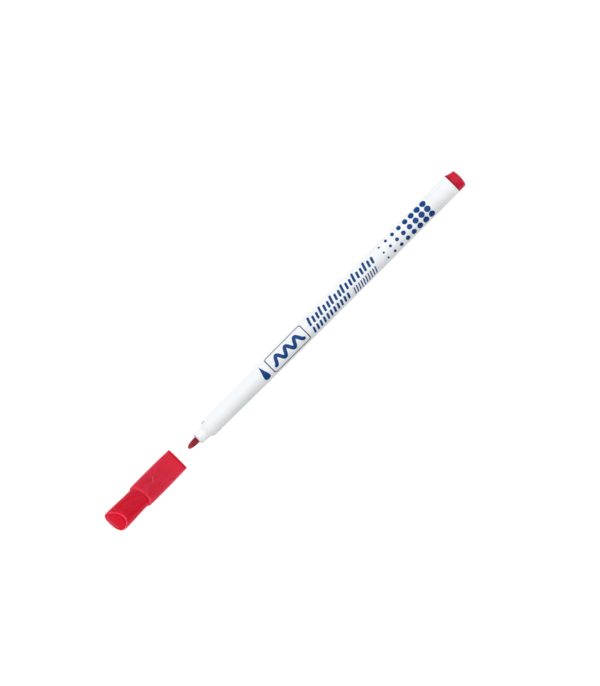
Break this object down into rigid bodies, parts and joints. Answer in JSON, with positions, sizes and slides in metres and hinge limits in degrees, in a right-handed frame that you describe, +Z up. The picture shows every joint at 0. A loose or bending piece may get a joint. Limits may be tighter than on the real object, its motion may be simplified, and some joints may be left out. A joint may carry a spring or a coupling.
{
  "type": "whiteboard marker",
  "caption": "Slim round felt-tip marker with a bullet nib, a tapered white barrel, an end plug and a pull-off cap whose narrower end is cut at a slant.",
  "frame": {"origin": "on the surface that the marker lies on, under the middle of its whole length with the cap off", "axes": "+X along the marker from the cap to the end plug, +Z up, towards the printed side and the side that the cap's slanted end faces"},
  "size_m": [0.1796, 0.0098, 0.0097],
  "materials": {
    "barrel_white": "smooth white polypropylene, satin gloss, with a blue print",
    "nib_fibre": "pressed fibre soaked with dark red ink",
    "ink_fibre": "fibre rod soaked with red ink",
    "clear_film": "thin clear film",
    "plug_red": "moulded red polypropylene, satin",
    "cap_red": "moulded red polypropylene, satin, faintly translucent",
    "seal_natural": "soft natural polyethylene"
  },
  "bodies": {
    "barrel": {"barrel": "barrel_white", "nib": "nib_fibre", "reservoir_core": "ink_fibre", "reservoir_film": "clear_film", "end_plug": "plug_red"},
    "cap": {"cap_shell": "cap_red", "cap_seal": "seal_natural"}
  },
  "joints": [
    {"name": "cap_slide", "type": "slide", "parent": "barrel", "child": "cap", "axis": [1, 0, 0], "range_m": [0, 0.0323]}
  ]
}
